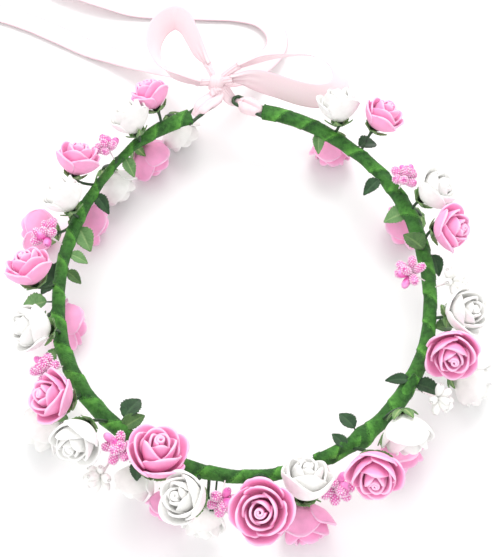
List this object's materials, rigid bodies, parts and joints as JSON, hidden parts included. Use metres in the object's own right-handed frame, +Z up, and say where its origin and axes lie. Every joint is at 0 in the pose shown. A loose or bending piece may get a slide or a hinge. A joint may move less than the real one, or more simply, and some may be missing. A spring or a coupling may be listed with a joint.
{
  "type": "flower crown",
  "caption": "Open wire hoop wound in green crepe tape, set with two rows of pink and white foam roses, pip sprays and leaves, tied at the back with a satin ribbon bow.",
  "frame": {"origin": "on the table under the middle of the flowers' outline", "axes": "+Z up out of the level hoop, -Y to the wearer's front, +Y to the open back where the bow is tied, +X to the right seen from the front"},
  "size_m": [0.3008, 0.3591, 0.0602],
  "materials": {
    "wire": "annealed wire bundle; the eyes are bound in dark green tape",
    "crepe_tape": "crinkled green crepe tape wound in a spiral, matt",
    "foam_pink": "thin matt foam sheet petals, candy pink, deeper in the folds",
    "foam_white": "thin matt foam sheet petals, warm white",
    "pip_pink": "hot pink stamens crusted in small pale beads",
    "pip_white": "smooth white stamens",
    "leaf_cloth": "stiffened green cloth with pressed veins",
    "ribbon_satin": "pale pink satin with a soft sheen"
  },
  "bodies": {
    "crown": {"hoop_core_wire": "wire", "hoop_tape_wrap": "crepe_tape", "leaf_01": "leaf_cloth", "leaf_02": "leaf_cloth", "leaf_03": "leaf_cloth", "leaf_04": "leaf_cloth", "leaf_05": "leaf_cloth", "pips_pink_01": "pip_pink", "pips_pink_02": "pip_pink", "pips_pink_03": "pip_pink", "pips_pink_04": "pip_pink", "pips_pink_05": "pip_pink", "pips_pink_06": "pip_pink", "pips_pink_08": "pip_pink", "pips_white_01": "pip_white", "pips_white_02": "pip_white", "ribbon_knot": "ribbon_satin", "ribbon_lace_left": "ribbon_satin", "ribbon_lace_right": "ribbon_satin", "ribbon_loop_left": "ribbon_satin", "ribbon_loop_right": "ribbon_satin", "ribbon_tail_back": "ribbon_satin", "ribbon_tail_left": "ribbon_satin", "rose_pink_01": "foam_pink", "rose_pink_02": "foam_pink", "rose_pink_03": "foam_pink", "rose_pink_04": "foam_pink", "rose_pink_05": "foam_pink", "rose_pink_06": "foam_pink", "rose_pink_07": "foam_pink", "rose_pink_08": "foam_pink", "rose_pink_09": "foam_pink", "rose_pink_10": "foam_pink", "rose_pink_11": "foam_pink", "rose_pink_12": "foam_pink", "rose_pink_13": "foam_pink", "rose_pink_14": "foam_pink", "rose_pink_15": "foam_pink", "rose_pink_16": "foam_pink", "rose_pink_17": "foam_pink", "rose_pink_18": "foam_pink", "rose_pink_19": "foam_pink", "rose_white_01": "foam_white", "rose_white_02": "foam_white", "rose_white_03": "foam_white", "rose_white_04": "foam_white", "rose_white_05": "foam_white", "rose_white_06": "foam_white", "rose_white_08": "foam_white", "rose_white_09": "foam_white", "rose_white_10": "foam_white", "rose_white_11": "foam_white", "rose_white_12": "foam_white", "rose_white_13": "foam_white", "rose_white_14": "foam_white", "rose_white_15": "foam_white", "rose_white_16": "foam_white"},
    "hanging_rose": {"rose_white_07": "foam_white"},
    "inner_pips": {"pips_pink_07": "pip_pink"},
    "side_pips": {"pips_white_03": "pip_white"}
  },
  "joints": [
    {"name": "hanging_rose_bend", "type": "hinge", "parent": "crown", "child": "hanging_rose", "pos_m": [0.0571, -0.0612, 0.035], "axis": [0.719, 0.695, 0], "range_deg": [-12, 12]},
    {"name": "inner_pips_bend", "type": "hinge", "parent": "crown", "child": "inner_pips", "pos_m": [0.0788, 0.0054, 0.0339], "axis": [0, 1, 0], "range_deg": [-15, 15]},
    {"name": "side_pips_bend", "type": "hinge", "parent": "crown", "child": "side_pips", "pos_m": [0.0851, 0.002, 0.034], "axis": [0.018, 0.9998, 0], "range_deg": [-12, 12]}
  ]
}
